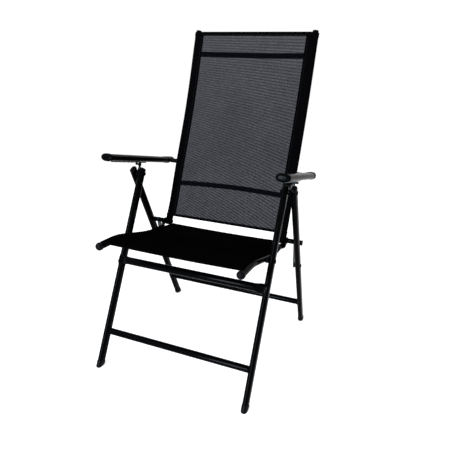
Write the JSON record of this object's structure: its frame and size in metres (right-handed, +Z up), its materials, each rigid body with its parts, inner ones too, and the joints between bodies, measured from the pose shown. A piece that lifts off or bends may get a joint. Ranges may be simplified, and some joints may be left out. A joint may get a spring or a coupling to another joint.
{
  "type": "folding_chair",
  "caption": "Folding high-back patio armchair: scissor legs, sling seat that tips up, tall sling back that reclines between armrests held on ratchet links.",
  "frame": {"origin": "on the floor, under the middle of the chair's bounding box", "axes": "+X to the right seen from the front, +Y to the rear, +Z up"},
  "size_m": [0.599, 0.6701, 1.0815],
  "materials": {
    "paint": "near-black semi-gloss powder coat on steel tube",
    "plastic": "black moulded plastic, slightly satin",
    "moulding": "dark grey moulded plastic with a satin sheen",
    "cloth": "dark grey coated mesh weave, matt",
    "zinc": "zinc-plated steel"
  },
  "bodies": {
    "front_frame": {"front_leg_left": "paint", "front_leg_right": "paint", "front_foot_left": "plastic", "front_foot_right": "plastic", "front_leg_cap_left": "plastic", "front_leg_cap_right": "plastic", "stretcher_screw_left": "zinc", "stretcher_screw_right": "zinc", "seat_bolt_left": "zinc", "seat_bolt_right": "zinc", "leg_bolt_left": "zinc", "leg_bolt_right": "zinc", "front_low_stretcher": "paint", "front_high_stretcher": "paint"},
    "rear_frame": {"rear_leg_left": "paint", "rear_leg_right": "paint", "rear_foot_left": "plastic", "rear_foot_right": "plastic", "rear_leg_cap_left": "plastic", "rear_leg_cap_right": "plastic", "rear_stretcher": "paint", "link_rivet_left": "zinc", "link_rivet_right": "zinc"},
    "seat_frame": {"seat_tube_left": "paint", "seat_tube_right": "paint", "seat_tube_cap_left": "plastic", "seat_tube_cap_right": "plastic", "seat_bush_left": "zinc", "seat_bush_right": "zinc", "seat_front_spreader": "paint", "seat_rear_spreader": "paint", "seat_sling": "cloth"},
    "back_pins": {"back_bolt_left": "paint", "back_bolt_right": "paint", "rod_sleeve_left": "paint", "rod_sleeve_right": "paint"},
    "rear_links": {"rear_link_left": "zinc", "rear_link_right": "zinc"},
    "backrest": {"back_tube_left": "paint", "back_tube_right": "paint", "back_tube_cap_left": "plastic", "back_tube_cap_right": "plastic", "back_low_bar": "paint", "back_high_bar": "paint", "back_sling": "cloth"},
    "armrest_bolts": {"armrest_bolt_left": "zinc", "armrest_bolt_right": "zinc"},
    "armrest_spacers": {"armrest_spacer_left": "plastic", "armrest_spacer_right": "plastic"},
    "left_armrest": {"armrest_left": "moulding", "armrest_rear_cap_left": "moulding", "armrest_plug_left": "plastic", "armrest_rail_left": "zinc"},
    "right_armrest": {"armrest_right": "moulding", "armrest_rear_cap_right": "moulding", "armrest_plug_right": "plastic", "armrest_rail_right": "zinc"},
    "ratchet_links": {"ratchet_link_left": "zinc", "ratchet_link_right": "zinc"}
  },
  "joints": [
    {"name": "fold", "type": "hinge", "parent": "front_frame", "child": "rear_frame", "pos_m": [0, -0.05003, 0.592], "axis": [-1, 0, 0], "range_deg": [0, 47.13]},
    {"name": "seat_fold", "type": "hinge", "parent": "front_frame", "child": "seat_frame", "pos_m": [0, -0.13577, 0.399], "axis": [-1, 0, 0], "range_deg": [0, 88.01]},
    {"name": "link_fold", "type": "hinge", "parent": "seat_frame", "child": "rear_links", "pos_m": [0, 0.08948, 0.391], "axis": [-1, 0, 0], "range_deg": [0, 97.43]},
    {"name": "back_pin_turn", "type": "hinge", "parent": "seat_frame", "child": "back_pins", "pos_m": [0, 0.08948, 0.391], "axis": [1, 0, 0], "range_deg": [0, 87.01]},
    {"name": "recline", "type": "hinge", "parent": "back_pins", "child": "backrest", "pos_m": [0, 0.08948, 0.391], "axis": [-1, 0, 0], "range_deg": [0, 38]},
    {"name": "armrest_bolt_turn", "type": "hinge", "parent": "backrest", "child": "armrest_bolts", "pos_m": [0, 0.16934, 0.607], "axis": [-1, 0, 0], "range_deg": [0, 95.68]},
    {"name": "armrest_level", "type": "hinge", "parent": "armrest_bolts", "child": "armrest_spacers", "pos_m": [0, 0.16934, 0.607], "axis": [1, 0, 0], "range_deg": [0, 24.8]},
    {"name": "left_armrest_lift", "type": "hinge", "parent": "armrest_spacers", "child": "left_armrest", "pos_m": [0, 0.16934, 0.607], "axis": [-1, 0, 0], "range_deg": [0, 25]},
    {"name": "right_armrest_lift", "type": "hinge", "parent": "armrest_spacers", "child": "right_armrest", "pos_m": [0, 0.16934, 0.607], "axis": [-1, 0, 0], "range_deg": [0, 25]},
    {"name": "ratchet_link_turn", "type": "hinge", "parent": "front_frame", "child": "ratchet_links", "pos_m": [0, -0.05003, 0.592], "axis": [-1, 0, 0], "range_deg": [0, 65.48]}
  ],
  "couplings": [
    {"joint": "seat_fold", "follows": "fold", "ratio": 1.8672},
    {"joint": "link_fold", "follows": "fold", "ratio": 2.0671},
    {"joint": "back_pin_turn", "follows": "fold", "ratio": 1.846},
    {"joint": "armrest_bolt_turn", "follows": "fold", "ratio": 2.03},
    {"joint": "ratchet_link_turn", "follows": "fold", "ratio": 1.3893},
    {"joint": "armrest_level", "follows": "recline", "ratio": 0.65235}
  ]
}
